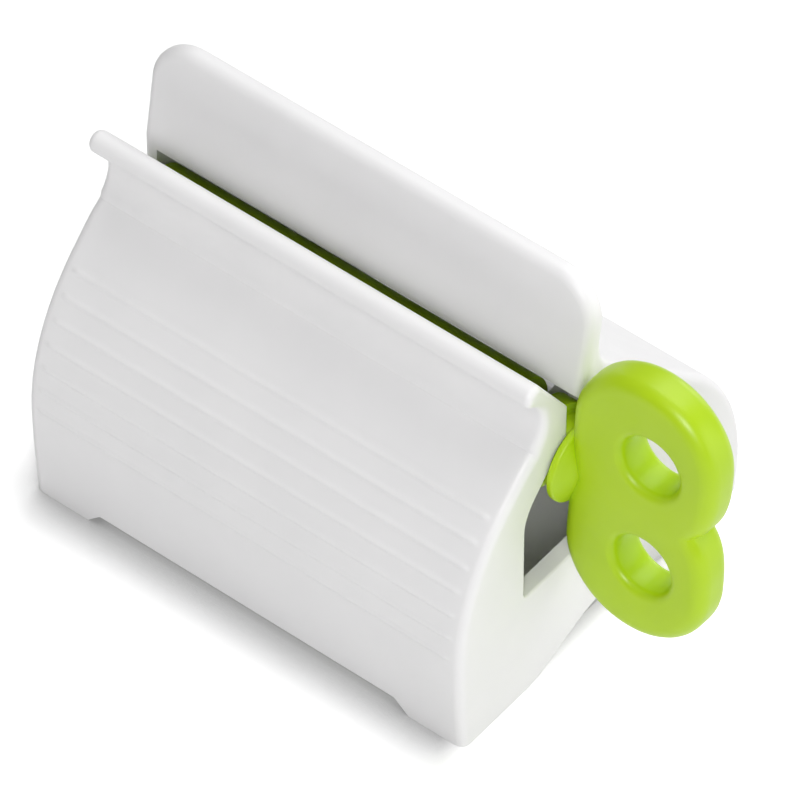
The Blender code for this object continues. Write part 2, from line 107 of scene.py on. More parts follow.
# The rod and the key, as in the frame
KEY_LEAN = math.radians(3.8)
WINDING_RADIUS = 0.0062
WINDING_END_GAP = 0.0004
ROD_RADIUS = 0.0049
ROD_END_GAP = 0.0003
RUNNING_GAP = 0.0003
SHOULDER_SETBACK = 0.0004
SLIT_WIDTH = 0.0020
SLIT_START_MARGIN = 0.0012
SLIT_END_MARGIN = 0.0016
TANG_SIDE = 0.0050
TANG_LENGTH = 0.0042
SOCKET_GAP = 0.0002
KEY_GAP = 0.0008
KEY_THICKNESS = 0.0061
KEY_EDGE_RADIUS = 0.0021
LOBE_RADIUS = 0.0111
LOBE_OFFSET = 0.0101
OUTER_NOTCH_REACH = 0.0123
INNER_NOTCH_REACH = 0.0153
NOTCH_POWER = 3.0
HOLE_RADIUS = 0.0044
HOLE_RIM_RADIUS = 0.0012
HOLE_OFFSET = 0.0087
HOLE_X = 0.0125
HUB_BLEND_LENGTH = 0.0018
HUB_BLEND_END_RADIUS = 0.0022
FLANGE_RISE = 0.0012
FLANGE_THICKNESS = 0.0009
COLLAR_THICKNESS = 0.0028
COLLAR_GAP = 0.0003

# Roundings that only the looks have
END_ROUNDING = 0.0014
THROAT_ROUNDING = 0.0005
BEAD_ROUNDING = 0.0010
PANEL_ROUNDING = 0.00145
WINDOW_CORNER = 0.0009
RIM_ROUNDING = 0.00035
FINE_ROUNDING = 0.0002
RIB_FADE = 0.0014
CREASE_WIDTH = 0.0007
CREASE_DEPTH = 0.00044
CREASE_REACH = 0.0036
WINDING_SWELL = 0.00012

# How finely round shapes are drawn
ARC_STEPS = 16
CROWN_STEPS = 8
ROUNDING_STEPS = 6
RIB_STEPS = 8
TURN_STEPS = 72
LOBE_STEPS = 40
HOLE_STEPS = 56
EDGE_STEPS = 3
STATION_SPACING = 0.00004
SAME_POINT = 0.000001

# Edges that turn by more than this are drawn sharp, or are softened on the rod
SEAT_SHARP_TURN = math.radians(34)
ROD_SHARP_TURN = math.radians(40)
KEY_SHARP_TURN = math.radians(38)
ROD_EDGE_TURN = math.radians(50)

# The two plastics: light and dark colour, roughness from and to, grain per metre, grain height
# in metres, and how much light goes under the surface
WHITE_LIGHT = (0.874, 0.868, 0.872)
WHITE_DARK = (0.852, 0.847, 0.852)
WHITE_ROUGHNESS = (0.36, 0.46)
WHITE_GRAIN_SCALE = 5200.0
WHITE_GRAIN_HEIGHT = 0.000012
WHITE_DEPTH_SHARE = 0.06
GREEN_LIGHT = (0.460, 0.675, 0.006)
GREEN_DARK = (0.425, 0.640, 0.004)
GREEN_ROUGHNESS = (0.30, 0.40)
GREEN_GRAIN_SCALE = 4200.0
GREEN_GRAIN_HEIGHT = 0.000014
GREEN_DEPTH_SHARE = 0.10

# What both plastics share
DRIFT_SCALE = 90.0
DRIFT_DETAIL = 2.0
PATCH_SCALE = 420.0
PATCH_DETAIL = 4.0
GRAIN_DETAIL = 5.0
GRAIN_STRENGTH = 0.5
NOISE_LOW = 0.3
NOISE_HIGH = 0.7
LIGHT_DEPTH = 0.0012
LIGHT_DEPTH_BY_COLOUR = (1.0, 1.0, 1.0)

# The camera, as the photograph was taken
CAMERA_PLACE = Vector((0.4836, -0.6145, 0.8934))
CAMERA_AZIMUTH = math.radians(38.72)
CAMERA_ELEVATION = math.radians(48.0)
CAMERA_LENS = 413.7
CAMERA_SENSOR = 36.0
CAMERA_CLIP_START = 0.01
CAMERA_CLIP_END = 20.0

# The floor; the lift is what only the camera's own rays add to it; the floor's colour and lift
# carry painted contact shade close to the seat
FLOOR_LIFT = 0.36
FLOOR_REACH = 3.0
FLOOR_TONE = 0.90
# Painted contact shade on the floor: its darkest colour, its reach, and the occlusion at which it
# is darkest
FLOOR_PAINTED_SHADE_TONE = 0.50
FLOOR_PAINTED_SHADE_REACH = 0.007
FLOOR_PAINTED_SHADE_DARKEST_AT = 0.3
FLOOR_LIFT_STARTS_AT = 0.5
FLOOR_ROUGHNESS = 0.6
FLOOR_SPECULAR = 0.2
FLOOR_SAMPLES = 8

# The light: strength of the world, and for each lamp its azimuth and elevation in degrees,
# distance and side in metres, and power in watts
WORLD_STRENGTH = 0.25
LAMP_TARGET_Z = 0.0257
LAMPS = {
    "camera_side_lamp": (39, 40, 1.2, 0.3, 6.5),
    "rear_high_lamp": (180, 65, 1.0, 0.8, 4.4),
    "rear_low_lamp": (180, 20, 1.0, 0.5, 2.3),
    "key_side_lamp": (110, 12, 1.0, 0.8, 2.5),
    "top_lamp": (0, 89, 1.0, 0.8, 0.9),
}
PURE_WHITE = (1.0, 1.0, 1.0, 1.0)

# Worked out from the sizes above, as (Y, Z) points where they lie on the section
SLOPE_START = (
    FRONT_RADIUS * (1 - math.cos(SLOPE_ANGLE)) - FRONT_BULGE,
    FRONT_RADIUS * math.sin(SLOPE_ANGLE) + FRONT_BULGE_HEIGHT,
)
SLOPE_END = (
    SLOPE_START[0] + FRONT_SLOPE_RUN * math.sin(SLOPE_ANGLE),
    SLOPE_START[1] + FRONT_SLOPE_RUN * math.cos(SLOPE_ANGLE),
)
SLOPE_START_AT = FRONT_BULGE_HEIGHT + FRONT_RADIUS * SLOPE_ANGLE
SLOPE_END_AT = SLOPE_START_AT + FRONT_SLOPE_RUN
NECK_CENTRE = (
    SLOPE_END[0] - NECK_RADIUS * math.cos(SLOPE_ANGLE),
    SLOPE_END[1] + NECK_RADIUS * math.sin(SLOPE_ANGLE),
)
BEAD_CENTRE = (
    NECK_CENTRE[0] + (NECK_RADIUS + LIP_BEAD_RADIUS) * math.cos(LIP_TURN),
    NECK_CENTRE[1] + (NECK_RADIUS + LIP_BEAD_RADIUS) * math.sin(LIP_TURN),
)
THROAT_TOP_Z = BEAD_CENTRE[1] - THROAT_DROP
LAND_BOTTOM_Z = THROAT_TOP_Z - THROAT_HEIGHT
AXIS_Y = BEAD_CENTRE[0] + SLOT_SETBACK
AXIS_Z = LAND_BOTTOM_Z - LAND_GAP - WINDING_RADIUS
THROAT_FRONT_Y = AXIS_Y - THROAT_WIDTH / 2
PANEL_FRONT_Y = AXIS_Y + THROAT_WIDTH / 2
PANEL_TOP_Z = THROAT_TOP_Z + PANEL_RISE
REAR_BULGE_Y = PANEL_FRONT_Y + REAR_REACH
PLATE_INNER_X = SEAT_LENGTH - END_PLATE
WEB_END_X = PLATE_INNER_X - WEB_SPACING
WEB_START_X = WEB_END_X - WEB_THICKNESS
ROD_SHOULDER_X = WEB_END_X + SHOULDER_SETBACK
WINDING_START_X = END_PLATE + WINDING_END_GAP
WINDING_END_X = WEB_START_X - WINDING_END_GAP
SLIT_START_X = END_PLATE + SLIT_START_MARGIN
SLIT_END_X = WEB_START_X - SLIT_END_MARGIN
FLANGE_RADIUS = ROD_RADIUS + FLANGE_RISE
FLANGE_START_X = SEAT_LENGTH + COLLAR_GAP
KEY_FLAT_X = SEAT_LENGTH + KEY_GAP
LOBE_CENTRE_X = KEY_FLAT_X + LOBE_RADIUS


def arc(centre, radius, start, end, steps):
    """Points along an arc, its ends included; angles run from +u towards +v."""
    points = []
    for index in range(steps + 1):
        angle = start + (end - start) * index / steps
        points.append((centre[0] + radius * math.cos(angle), centre[1] + radius * math.sin(angle)))
    return points


def rounded(corners, closed=True):
    """A line through (u, v, radius) corners, each rounded with its radius."""
    points = []
    count = len(corners)
    for index, (u, v, radius) in enumerate(corners):
        here = Vector((u, v))
        ends = not closed and index in (0, count - 1)
        if ends or radius <= 0:
            points.append((u, v))
            continue
        before = (Vector(corners[index - 1][:2]) - here).normalized()
        after = (Vector(corners[(index + 1) % count][:2]) - here).normalized()
        half = before.angle(after) / 2
        centre = here + (before + after).normalized() * radius / math.sin(half)
        first = here + before * radius / math.tan(half) - centre
        last = here + after * radius / math.tan(half) - centre
        start = math.atan2(first.y, first.x)
        turn = math.atan2(first.x * last.y - first.y * last.x, first.dot(last))
        points += arc(centre, radius, start, start + turn, ROUNDING_STEPS)
    return points


def shifted(outline, by, closed=True):
    """The outline moved to its right hand by a length, or by one length for each point."""
    amounts = by if isinstance(by, list) else [by] * len(outline)
    moved = []
    count = len(outline)
    for index, (u, v) in enumerate(outline):
        before = outline[index - 1] if closed or index else outline[0]
        after = outline[(index + 1) % count] if closed or index < count - 1 else outline[-1]
        along = Vector((after[0] - before[0], after[1] - before[1])).normalized()
        moved.append((u + along.y * amounts[index], v - along.x * amounts[index]))
    return moved


def mesh_of(name, work):
    """Turns a closed bmesh into a mesh whose faces point out."""
    bmesh.ops.remove_doubles(work, verts=work.verts, dist=SAME_POINT)
    bmesh.ops.recalc_face_normals(work, faces=work.faces)
    mesh = bpy.data.meshes.new(name)
    work.to_mesh(mesh)
    work.free()
    return mesh


def place(name, data):
    """A new object in the scene with this mesh, lamp or camera."""
    item = bpy.data.objects.new(name, data)
    bpy.context.scene.collection.objects.link(item)
    return item


def lofted(name, rings):
    """A closed body through rings of equally many 3-D points, with a flat cap at each end."""
    work = bmesh.new()
    loops = [[work.verts.new(point) for point in ring] for ring in rings]
    for near, far in zip(loops, loops[1:]):
        for index in range(len(near)):
            following = (index + 1) % len(near)
            work.faces.new((near[index], near[following], far[following], far[index]))
    work.faces.new(loops[0])
    work.faces.new(loops[-1])
    return mesh_of(name, work)


def along_x(outline, x):
    return [(x, u, v) for u, v in outline]


def along_y(outline, y):
    return [(u, y, v) for u, v in outline]


def prism(name, outline, low, high, lay=along_x):
    return lofted(name, [lay(outline, low), lay(outline, high)])


def flared(name, outline, inner, face):
    """A cutter along X from inner to beyond face that leaves a round rim at the face."""
    sign = 1 if face > inner else -1
    rings = [along_x(outline, inner)]
    for step in range(ROUNDING_STEPS):
        angle = math.pi / 2 * step / ROUNDING_STEPS
        at = face - sign * RIM_ROUNDING * (1 - math.sin(angle))
        rings.append(along_x(shifted(outline, RIM_ROUNDING * (1 - math.cos(angle))), at))
    wide = shifted(outline, RIM_ROUNDING + OVERRUN / 2)
    rings.append(along_x(wide, face + sign * OVERRUN))
    return lofted(name, rings)


def turned(name, corners):
    """A profile of (x, radius, rounding) corners turned about the X axis, from axis to axis."""
    profile = rounded(corners, closed=False)
    work = bmesh.new()
    rings = []
    for x, radius in profile:
        if radius < SAME_POINT:
            rings.append([work.verts.new((x, 0, 0))])
            continue
        ring = []
        for step in range(TURN_STEPS):
            angle = math.tau * step / TURN_STEPS
            ring.append(work.verts.new((x, radius * math.sin(angle), radius * math.cos(angle))))
        rings.append(ring)
    for near, far in zip(rings, rings[1:]):
        for step in range(TURN_STEPS):
            following = (step + 1) % TURN_STEPS
            loop = [near[step % len(near)], near[following % len(near)]]
            loop += [far[following % len(far)], far[step % len(far)]]
            work.faces.new(list(dict.fromkeys(loop)))
    return mesh_of(name, work)


def joined(name, mesh, steps):
    """The mesh after each (operation, mesh) step, cut or joined exactly."""
    item = place(name, mesh)
    tools = []
    for operation, other in steps:
        tool = place(other.name, other)
        tools.append(tool)
        step = item.modifiers.new(other.name, "BOOLEAN")
        step.object = tool
        step.operation = operation
        step.solver = "EXACT"
    seen = item.evaluated_get(bpy.context.evaluated_depsgraph_get())
    final = bpy.data.meshes.new_from_object(seen)
    item.modifiers.clear()
    item.data = final
    final.name = name
    for tool in tools:
        bpy.data.objects.remove(tool, do_unlink=True)
    return item


def shade(item, sharp_turn):
    item.data.shade_smooth()
    item.data.set_sharp_from_angle(angle=sharp_turn)


# The seat's section


def front_curve(distance, outward=0.0):
    """A point on the front's outer face by the distance along it from the foot."""
    if distance <= FRONT_BULGE_HEIGHT:
        share = math.sin(distance / FRONT_BULGE_HEIGHT * math.pi / 2)
        return (-FRONT_BULGE * share - outward, distance)
    if distance <= SLOPE_START_AT:
        angle = (distance - FRONT_BULGE_HEIGHT) / FRONT_RADIUS
        reach = FRONT_RADIUS + outward
        y = FRONT_RADIUS - FRONT_BULGE - reach * math.cos(angle)
        return (y, FRONT_BULGE_HEIGHT + reach * math.sin(angle))
    run = distance - SLOPE_START_AT
    y = SLOPE_START[0] + run * math.sin(SLOPE_ANGLE) - outward * math.cos(SLOPE_ANGLE)
    z = SLOPE_START[1] + run * math.cos(SLOPE_ANGLE) + outward * math.sin(SLOPE_ANGLE)
    return (y, z)


def front_face(rib_share):
    """From the foot to the end of the straight slope, with ribs of this share of their height."""
    points = [front_curve(FRONT_BULGE_HEIGHT * step / ARC_STEPS) for step in range(ARC_STEPS)]
    for rib in range(RIB_COUNT):
        for step in range(RIB_STEPS + 1):
            share = step / RIB_STEPS
            distance = RIB_START + rib * RIB_PITCH + RIB_WIDTH * (share - 1 / 2)
            swell = (1 - math.cos(math.tau * share)) / 2
            points.append(front_curve(distance, RIB_HEIGHT * rib_share * swell))
    start = RIB_START + (RIB_COUNT - 1) * RIB_PITCH + RIB_WIDTH / 2
    crease = SLOPE_END_AT - CREASE_WIDTH
    for step in range(1, ARC_STEPS + 1):
        distance = start + (crease - start) * step / ARC_STEPS
        sink = max(0.0, 1 - (crease - distance) / CREASE_REACH) ** 2
        points.append(front_curve(distance, -CREASE_DEPTH * sink))
    points.append(front_curve(SLOPE_END_AT))
    return points


def lip():
    """Round the neck and the rolled lip, down to the throat's front edge."""
    edge = (THROAT_FRONT_Y, THROAT_TOP_Z)
    along = (edge[0] - BEAD_CENTRE[0], edge[1] - BEAD_CENTRE[1])
    leave = math.atan2(along[1], along[0]) + math.acos(LIP_BEAD_RADIUS / math.hypot(*along))
    points = arc(NECK_CENTRE, NECK_RADIUS, -SLOPE_ANGLE, LIP_TURN, ARC_STEPS)[1:]
    return points + arc(BEAD_CENTRE, LIP_BEAD_RADIUS, math.pi + LIP_TURN, leave, ARC_STEPS)[1:]


def panel_point(height, back):
    """A point of the leaning panel by its height along it and its distance behind the middle."""
    middle = back + PANEL_THICKNESS / 2
    y = PANEL_FRONT_Y + height * math.sin(PANEL_LEAN) + middle * math.cos(PANEL_LEAN)
    z = THROAT_TOP_Z + height * math.cos(PANEL_LEAN) - middle * math.sin(PANEL_LEAN)
    return (y, z)


def panel_height():
    half = PANEL_THICKNESS / 2
    rise = PANEL_TOP_Z - half - THROAT_TOP_Z + half * math.sin(PANEL_LEAN)
    return rise / math.cos(PANEL_LEAN) + half


def panel(from_end):
    """The panel's section at a distance from the seat's nearer end, over its round rim."""
    flat = PANEL_THICKNESS / 2 - PANEL_ROUNDING
    face = flat + math.sqrt(PANEL_ROUNDING**2 - max(0.0, PANEL_ROUNDING - from_end) ** 2)
    top = panel_height()
    corner = PANEL_CORNER_RADIUS
    side = max(0.0, corner - from_end)
    rim = []
    for step in range(CROWN_STEPS + 1):
        angle = math.pi / 2 * step / CROWN_STEPS
        depth = PANEL_ROUNDING * (1 - math.cos(angle))
        back = flat + PANEL_ROUNDING * math.sin(angle)
        height = top - depth
        if depth >= from_end:
            height = top - corner
            back = face
        elif side > 0:
            height = top - corner + math.sqrt((corner - depth) ** 2 - side**2)
        rim.append((height, back))
    points = [panel_point(0.0, -face)]
    points += [panel_point(height, -back) for height, back in reversed(rim)]
    return points + [panel_point(height, back) for height, back in rim]


def rear_line_sum():
    """Y + Z along the outer face of the rear slope."""
    arc_end = REAR_RADIUS * math.cos(SLOPE_ANGLE)
    return REAR_BULGE_Y - REAR_RADIUS + arc_end + REAR_BULGE_HEIGHT + arc_end


def rear_neck():
    """Where the panel's rear face turns into the rear slope."""
    foot = panel_point(0.0, PANEL_THICKNESS / 2)
    along = (math.sin(PANEL_LEAN), math.cos(PANEL_LEAN))
    run = (rear_line_sum() - foot[0] - foot[1]) / (along[0] + along[1])
    run += REAR_NECK_RADIUS * math.tan((SLOPE_ANGLE + PANEL_LEAN) / 2)
    centre = panel_point(run, PANEL_THICKNESS / 2 + REAR_NECK_RADIUS)
    return arc(centre, REAR_NECK_RADIUS, math.pi - PANEL_LEAN, math.pi + SLOPE_ANGLE, ARC_STEPS)


def rear_flare():
    """Down the rear slope and flare to the rear foot."""
    flare = (REAR_BULGE_Y - REAR_RADIUS, REAR_BULGE_HEIGHT)
    points = arc(flare, REAR_RADIUS, SLOPE_ANGLE, 0.0, 2 * ARC_STEPS)
    return points + [(REAR_BULGE_Y - REAR_FOOT_DRAFT, 0.0)]


def rounding_in(radius, from_end):
    """How far a face lies inside its full outline at this distance from the end."""
    short = max(0.0, radius - from_end)
    return radius - math.sqrt(radius**2 - short**2)


def seat_ring(from_end):
    """The seat's filled section at a distance from its nearer end, rounded towards that end."""
    fade = min(1.0, max(0.0, (from_end - END_ROUNDING) / RIB_FADE))
    rib_share = fade * fade * (3 - 2 * fade)
    slot = [(THROAT_FRONT_Y, THROAT_TOP_Z), (THROAT_FRONT_Y, AXIS_Z), (PANEL_FRONT_Y, AXIS_Z)]
    front = front_face(rib_share) + lip() + slot
    plain_face = front_face(0.0)
    plain = plain_face + lip() + slot
    neck = rear_neck()
    flare = rear_flare()
    crown = panel(from_end)
    smooth = plain + panel(PANEL_CORNER_RADIUS) + neck + flare
    radii = [END_ROUNDING] * len(plain_face)
    for step in range(1, ARC_STEPS + 1):
        radii.append(END_ROUNDING + (BEAD_ROUNDING - END_ROUNDING) * step / ARC_STEPS)
    radii += [BEAD_ROUNDING] * ARC_STEPS + [THROAT_ROUNDING] * 2 + [PANEL_ROUNDING]
    radii += [0.0] * len(crown)
    for step in range(len(neck)):
        share = step / (len(neck) - 1)
        radii.append(PANEL_ROUNDING + (END_ROUNDING - PANEL_ROUNDING) * share)
    radii += [END_ROUNDING] * len(flare)
    inward = shifted(smooth, [rounding_in(radius, from_end) for radius in radii], closed=False)
    full = front + crown + neck + flare
    ring = []
    for point, base, moved in zip(full, smooth, inward):
        ring.append((point[0] + moved[0] - base[0], point[1] + moved[1] - base[1]))
    ring[0] = (ring[0][0], 0.0)
    ring[-1] = (ring[-1][0], 0.0)
    return ring


def seat_stations():
    """Distances from an end at which the seat's section changes."""
    found = set()
    for step in range(ROUNDING_STEPS + 1):
        share = 1 - math.cos(math.pi / 2 * step / ROUNDING_STEPS)
        found.add(round(END_ROUNDING * share, 6))
        found.add(round(BEAD_ROUNDING * share, 6))
        found.add(round(PANEL_ROUNDING * share, 6))
        found.add(round(END_ROUNDING + RIB_FADE * step / ROUNDING_STEPS, 6))
    for step in range(ARC_STEPS + 1):
        share = 1 - math.cos(math.pi / 2 * step / ARC_STEPS)
        found.add(round(PANEL_CORNER_RADIUS * share, 6))
    kept = []
    for distance in sorted(found):
        if not kept or distance - kept[-1] > STATION_SPACING:
            kept.append(distance)
    return kept


def seat_body():
    """The seat as if it were filled, with its slot open down to the axis."""
    stations = seat_stations()
    rings = [along_x(seat_ring(distance), distance) for distance in stations]
    for distance in reversed(stations):
        rings.append(along_x(seat_ring(distance), SEAT_LENGTH - distance))
    return lofted("seat_body", rings)


def cavity_outline():
    """The hollow between the end plates, open at the bottom."""
    foot = shifted([front_curve(0.0), front_curve(FRONT_BULGE_HEIGHT)], WALL, closed=False)
    points = [(foot[0][0], -OVERRUN)]
    for step in range(ARC_STEPS + 1):
        distance = FRONT_BULGE_HEIGHT + (SLOPE_START_AT - FRONT_BULGE_HEIGHT) * step / ARC_STEPS
        points.append(front_curve(distance, -WALL))
    start = points[-1]
    points.append((start[0] + LAND_BOTTOM_Z - start[1], LAND_BOTTOM_Z))
    pocket_y = PANEL_FRONT_Y + REAR_LAND_THICKNESS
    points.append((pocket_y, LAND_BOTTOM_Z))
    points.append((pocket_y, rear_line_sum() - WALL / math.cos(SLOPE_ANGLE) - pocket_y))
    flare = (REAR_BULGE_Y - REAR_RADIUS, REAR_BULGE_HEIGHT)
    points += arc(flare, REAR_RADIUS - WALL, SLOPE_ANGLE, 0.0, ARC_STEPS)
    return points + [(REAR_BULGE_Y - WALL - REAR_FOOT_DRAFT, -OVERRUN)]


def web_outline():
    """The web inside that the rod snaps up into."""
    ledge = AXIS_Z - SNAP_DROP
    rear_top = AXIS_Z + WEB_REAR_RISE
    top = LAND_BOTTOM_Z + WALL / 2
    reach = FRONT_RADIUS - WALL / 2
    centre = (FRONT_RADIUS - FRONT_BULGE, FRONT_BULGE_HEIGHT)
    start = math.pi - math.asin((ledge - FRONT_BULGE_HEIGHT) / reach)
    points = arc(centre, reach, start, math.pi - SLOPE_ANGLE, ARC_STEPS)
    end = points[-1]
    points.append((end[0] + top - end[1], top))
    front_y = THROAT_FRONT_Y - RUNNING_GAP
    points += [(front_y, top), (front_y, rear_top)]
    rear_sum = rear_line_sum() - WALL / 2 / math.cos(SLOPE_ANGLE)
    return points + [(rear_sum - rear_top, rear_top), (rear_sum - ledge, ledge)]


def relief_outline():
    """What is cut away behind the slot in the key-side end plate, under the rear land."""
    back = PANEL_FRONT_Y + RELIEF_REACH
    foot = AXIS_Z + RELIEF_FOOT_RISE
    corner = WINDOW_CORNER
    return rounded(
        [
            (AXIS_Y, LAND_BOTTOM_Z, 0.0),
            (AXIS_Y, foot, 0.0),
            (back, foot, 0.0),
            (back, LAND_BOTTOM_Z - RELIEF_REACH, corner),
            (PANEL_FRONT_Y, LAND_BOTTOM_Z, 0.0),
        ]
    )


def window_outline():
    """The opening in the key-side end plate, anticlockwise, with sloping shoulders."""
    sill = AXIS_Z - WINDOW_SILL_DROP
    shoulder = AXIS_Z - WINDOW_SHOULDER_DROP
    top = AXIS_Z + WINDOW_TOP_RISE
    half = WINDOW_HALF_WIDTH
    narrow = WINDOW_TOP_HALF_WIDTH
    corner = WINDOW_CORNER
    turn = WINDOW_SHOULDER_RADIUS
    return rounded(
        [
            (AXIS_Y - half, sill, corner),
            (AXIS_Y + half, sill, corner),
            (AXIS_Y + half, shoulder, turn),
            (AXIS_Y + narrow, top, corner),
            (AXIS_Y - narrow, top, corner),
            (AXIS_Y - half, shoulder, turn),
        ]
    )


def arch_outline():
    """The shallow arch under the end plates, clockwise from the front feet to the rear feet."""
    low_y = END_FOOT_WIDTH
    high_y = REAR_BULGE_Y - FRONT_BULGE - END_FOOT_WIDTH
    points = [(low_y, -OVERRUN)]
    steps = 2 * ARC_STEPS
    for index in range(steps + 1):
        share = index / steps
        rise = END_ARCH_HEIGHT * (1 - math.cos(math.tau * share)) / 2
        points.append((low_y + (high_y - low_y) * share, rise))
    return points + [(high_y, -OVERRUN)]


def recess_outline():
    """The recess between the feet along the front and the rear bottom edge, in X and Z."""
    low = SIDE_FOOT_LENGTH
    high = SEAT_LENGTH - SIDE_FOOT_LENGTH
    corner = WINDOW_CORNER
    return rounded(
        [
            (low, -OVERRUN, 0.0),
            (low, 0.0, corner / 2),
            (low + RECESS_RAMP, RECESS_HEIGHT, corner),
            (high - RECESS_RAMP, RECESS_HEIGHT, corner),
            (high, 0.0, corner / 2),
            (high, -OVERRUN, 0.0),
        ]
    )


def make_seat():
    """The white moulding: the filled body, then hollow, web, bores, window, arch and recess."""
    reach = ROD_RADIUS + RUNNING_GAP
    bore = arc((AXIS_Y, AXIS_Z), reach, 0.0, math.tau, TURN_STEPS)[:-1]
    near = -OVERRUN
    far = SEAT_LENGTH + OVERRUN
    middle = SEAT_LENGTH / 2
    behind = REAR_BULGE_Y + OVERRUN
    plate_start = PLATE_INNER_X - OVERRUN
    steps = [
        ("DIFFERENCE", prism("cut_cavity", cavity_outline(), END_PLATE, PLATE_INNER_X)),
        ("UNION", prism("join_web", web_outline(), WEB_START_X, WEB_END_X)),
        ("DIFFERENCE", flared("cut_bore_left", bore, middle, 0.0)),
        ("DIFFERENCE", flared("cut_bore_right", bore, middle - OVERRUN, SEAT_LENGTH)),
        ("DIFFERENCE", flared("cut_window", window_outline(), plate_start, SEAT_LENGTH)),
        ("DIFFERENCE", prism("cut_relief", relief_outline(), plate_start, far)),
        ("DIFFERENCE", prism("cut_arch", arch_outline(), near, far)),
        ("DIFFERENCE", prism("cut_recess", recess_outline(), near, behind, along_y)),
    ]
    seat = joined("seat_shell", seat_body(), steps)
    shade(seat, SEAT_SHARP_TURN)
    low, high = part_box("seat")
    seat.data.transform(Matrix.Translation((low.x, high.y - REAR_BULGE_Y, 0)))
    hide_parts("seat")
    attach(seat, "seat")
    return seat


# The rod and the key


def square(side):
    half = side / 2
    return [(-half, -half), (half, -half), (half, half), (-half, half)]


def on_axis(item, node):
    """Moves what was drawn about the X axis to the frame's axis, leaning as the key at rest."""
    joint = Vector(frame["joints"][0]["pos_m"])
    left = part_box("seat")[0].x
    lean = Matrix.Rotation(-KEY_LEAN, 4, "X")
    item.data.transform(Matrix.Translation((left, joint.y, joint.z)) @ lean)
    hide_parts(node)
    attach(item, "winder")


def make_rod():
    """The slotted rod that the tube's tail is wound on, with its square tang."""
    fine = FINE_ROUNDING
    body = turned(
        "rod_body",
        [
            (ROD_END_GAP, 0.0, 0.0),
            (ROD_END_GAP, ROD_RADIUS, 3 * fine),
            (WINDING_START_X, ROD_RADIUS, 0.0),
            (WINDING_START_X, WINDING_RADIUS + WINDING_SWELL, fine),
            (WINDING_END_X, WINDING_RADIUS + WINDING_SWELL, fine),
            (WINDING_END_X, ROD_RADIUS, 0.0),
            (ROD_SHOULDER_X, ROD_RADIUS, fine),
            (ROD_SHOULDER_X, 0.0, 0.0),
        ],
    )
    tang_end = ROD_SHOULDER_X + TANG_LENGTH
    tang = prism("join_tang", square(TANG_SIDE), ROD_SHOULDER_X - TANG_LENGTH / 2, tang_end)
    tall = WINDING_RADIUS + OVERRUN
    half = SLIT_WIDTH / 2
    slit = [(-half, -tall), (half, -tall), (half, tall), (-half, tall)]
    cutter = prism("cut_slit", slit, SLIT_START_X, SLIT_END_X)
    rod = joined("rod_slotted", body, [("UNION", tang), ("DIFFERENCE", cutter)])
    bevel = rod.modifiers.new("soft_edges", "BEVEL")
    bevel.width = fine
    bevel.segments = EDGE_STEPS
    bevel.limit_method = "ANGLE"
    bevel.angle_limit = ROD_EDGE_TURN
    bevel.use_clamp_overlap = False
    shade(rod, ROD_SHARP_TURN)
    on_axis(rod, "winding_rod")
    return rod


def lobe_side(reach):
    """One side of a lobe from its round end to the notch, as (distance out, height) points."""
    points = []
    steps = LOBE_STEPS // 2
    for index in range(1, steps + 1):
        drop = LOBE_OFFSET * index / steps
        share = (1 - (drop / reach) ** NOTCH_POWER) ** (1 / NOTCH_POWER)
        points.append((LOBE_RADIUS * share, LOBE_OFFSET - drop))
    return points


def key_outline():
    """The butterfly in X and Z about the rod's axis, anticlockwise from the outer notch."""
    outer = lobe_side(OUTER_NOTCH_REACH)
    inner = lobe_side(INNER_NOTCH_REACH)
    upper = [(LOBE_CENTRE_X + out, height) for out, height in reversed(outer)]
    upper += arc((LOBE_CENTRE_X, LOBE_OFFSET), LOBE_RADIUS, 0.0, math.pi, LOBE_STEPS)
    upper += [(LOBE_CENTRE_X - out, height) for out, height in inner]
    return upper + [(x, -height) for x, height in upper[-2:0:-1]]


def rounded_plate(name, outline, holes, thickness, edge_radius, rim_radius):
    """A plate in X and Z with round edges and rims; the outlines run anticlockwise."""
    work = bmesh.new()
    half = thickness / 2

    def wall(loop, radius, sign):
        rings = []
        for side in (-1, 1):
            for index in range(ROUNDING_STEPS + 1):
                share = index / ROUNDING_STEPS
                angle = math.pi / 2 * (share if side > 0 else 1 - share)
                depth = radius * (1 - math.cos(angle))
                y = side * (half - radius + radius * math.sin(angle))
                shape = shifted(loop, -sign * depth)
                rings.append([work.verts.new((u, y, v)) for u, v in shape])
        for near, far in zip(rings, rings[1:]):
            for index in range(len(loop)):
                following = (index + 1) % len(loop)
                work.faces.new((near[index], near[following], far[following], far[index]))
        return rings[0], rings[-1]

    ends = [wall(outline, edge_radius, 1)]
    ends += [wall(hole, rim_radius, -1) for hole in holes]
    for side in (0, 1):
        edges = []
        for pair in ends:
            ring = pair[side]
            edges += [work.edges.get((a, b)) for a, b in zip(ring, ring[1:] + ring[:1])]
        bmesh.ops.triangle_fill(work, use_beauty=True, edges=edges)
    return mesh_of(name, work)


